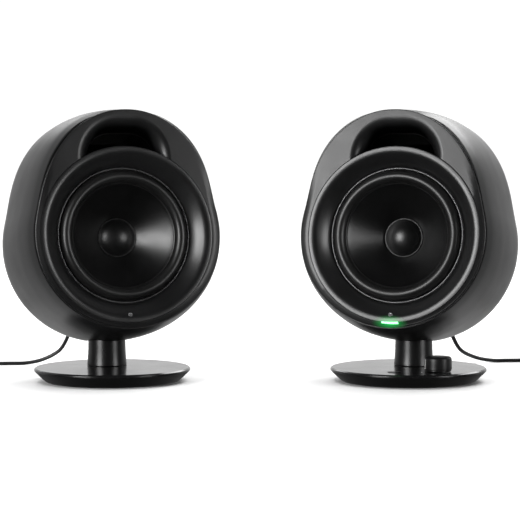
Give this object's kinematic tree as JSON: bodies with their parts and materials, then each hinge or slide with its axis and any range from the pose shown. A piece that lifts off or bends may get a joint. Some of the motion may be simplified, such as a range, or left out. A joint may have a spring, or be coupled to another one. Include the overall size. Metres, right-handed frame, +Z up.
{
  "type": "desktop speaker pair",
  "caption": "Pair of black desktop speakers: egg-shaped ported cabinets tilting on round stands, with a volume knob, a button and a status light on one base.",
  "frame": {"origin": "on the desk, midway between the two stands in X and in the middle of the pair's depth in Y, cords not counted", "axes": "+Z up, -Y towards the listener, +X from the left speaker to the right one"},
  "size_m": [0.5426, 0.2307, 0.2073],
  "materials": {
    "satin_black": "satin black moulded plastic, fine grain",
    "gloss_black": "polished black plastic",
    "cone_fibre": "matt black moulded fibre",
    "black_rubber": "matt black rubber",
    "cord_jacket": "satin black PVC jacket",
    "steel": "plain steel",
    "ferrite": "grey black ferrite",
    "copper": "enamelled copper winding",
    "circuit_board": "green lacquered board",
    "status_light": "green light guide",
    "spider_cloth": "resin-stiffened cloth"
  },
  "bodies": {
    "root": {"left_base_disc": "gloss_black", "left_base_foot": "black_rubber", "left_base_weight": "steel", "left_column": "satin_black", "left_column_bolt": "steel", "left_tilt_tongue": "steel", "left_cord_coil": "cord_jacket", "left_cord_plug": "black_rubber", "left_link_cord": "cord_jacket", "right_base_disc": "gloss_black", "right_base_foot": "black_rubber", "right_base_weight": "steel", "right_column": "satin_black", "right_column_bolt": "steel", "right_tilt_tongue": "steel", "right_cord_coil": "cord_jacket", "right_cord_plug": "black_rubber", "right_audio_lead": "cord_jacket", "control_board": "circuit_board", "volume_encoder": "steel", "button_switch": "steel"},
    "left_head": {"left_head_bracket": "steel", "left_hinge_pin": "steel", "left_cabinet_shell": "satin_black", "left_rear_panel": "satin_black", "left_front_baffle": "satin_black", "left_driver_bezel": "satin_black", "left_port_duct": "satin_black", "left_driver_basket": "satin_black", "left_surround": "black_rubber", "left_spider": "spider_cloth", "left_top_plate": "steel", "left_magnet": "ferrite", "left_pole_yoke": "steel", "left_cord_gland": "black_rubber"},
    "right_head": {"right_head_bracket": "steel", "right_hinge_pin": "steel", "right_cabinet_shell": "satin_black", "right_rear_panel": "satin_black", "right_front_baffle": "satin_black", "right_driver_bezel": "satin_black", "right_port_duct": "satin_black", "right_driver_basket": "satin_black", "right_surround": "black_rubber", "right_spider": "spider_cloth", "right_top_plate": "steel", "right_magnet": "ferrite", "right_pole_yoke": "steel", "right_cord_gland": "black_rubber", "led_light_bar": "status_light", "amplifier_board": "circuit_board", "dc_inlet": "gloss_black"},
    "left_cone_assembly": {"left_cone": "cone_fibre", "left_dust_cap": "cone_fibre", "left_voice_coil": "copper"},
    "right_cone_assembly": {"right_cone": "cone_fibre", "right_dust_cap": "cone_fibre", "right_voice_coil": "copper"},
    "volume_knob": {"volume_knob": "satin_black"},
    "function_button": {"function_button": "gloss_black"}
  },
  "joints": [
    {"name": "left_head_tilt", "type": "hinge", "parent": "root", "child": "left_head", "pos_m": [-0.11894, 0.00713, 0.046], "axis": [-0.9426, -0.3338, 0], "range_deg": [-7.5, 7.5], "deforming": ["left_link_cord"]},
    {"name": "right_head_tilt", "type": "hinge", "parent": "root", "child": "right_head", "pos_m": [0.11894, 0.00713, 0.046], "axis": [-0.9426, 0.3338, 0], "range_deg": [-7.5, 7.5], "deforming": ["right_audio_lead"]},
    {"name": "left_cone_travel", "type": "slide", "parent": "left_head", "child": "left_cone_assembly", "axis": [0.331, -0.9346, 0.1305], "range_m": [-0.003, 0.003], "stiffness_N_per_m": 1200, "deforming": ["left_surround", "left_spider"]},
    {"name": "right_cone_travel", "type": "slide", "parent": "right_head", "child": "right_cone_assembly", "axis": [-0.331, -0.9346, 0.1305], "range_m": [-0.003, 0.003], "stiffness_N_per_m": 1200, "deforming": ["right_surround", "right_spider"]},
    {"name": "volume_knob_turn", "type": "hinge", "parent": "root", "child": "volume_knob", "pos_m": [0.13341, -0.04127, 0.011], "axis": [0, 0, -1], "range_deg": [0, 300]},
    {"name": "function_button_press", "type": "slide", "parent": "root", "child": "function_button", "axis": [0, 0, -1], "range_m": [0, 0.0006], "stiffness_N_per_m": 500, "springref_m": -0.0006}
  ]
}
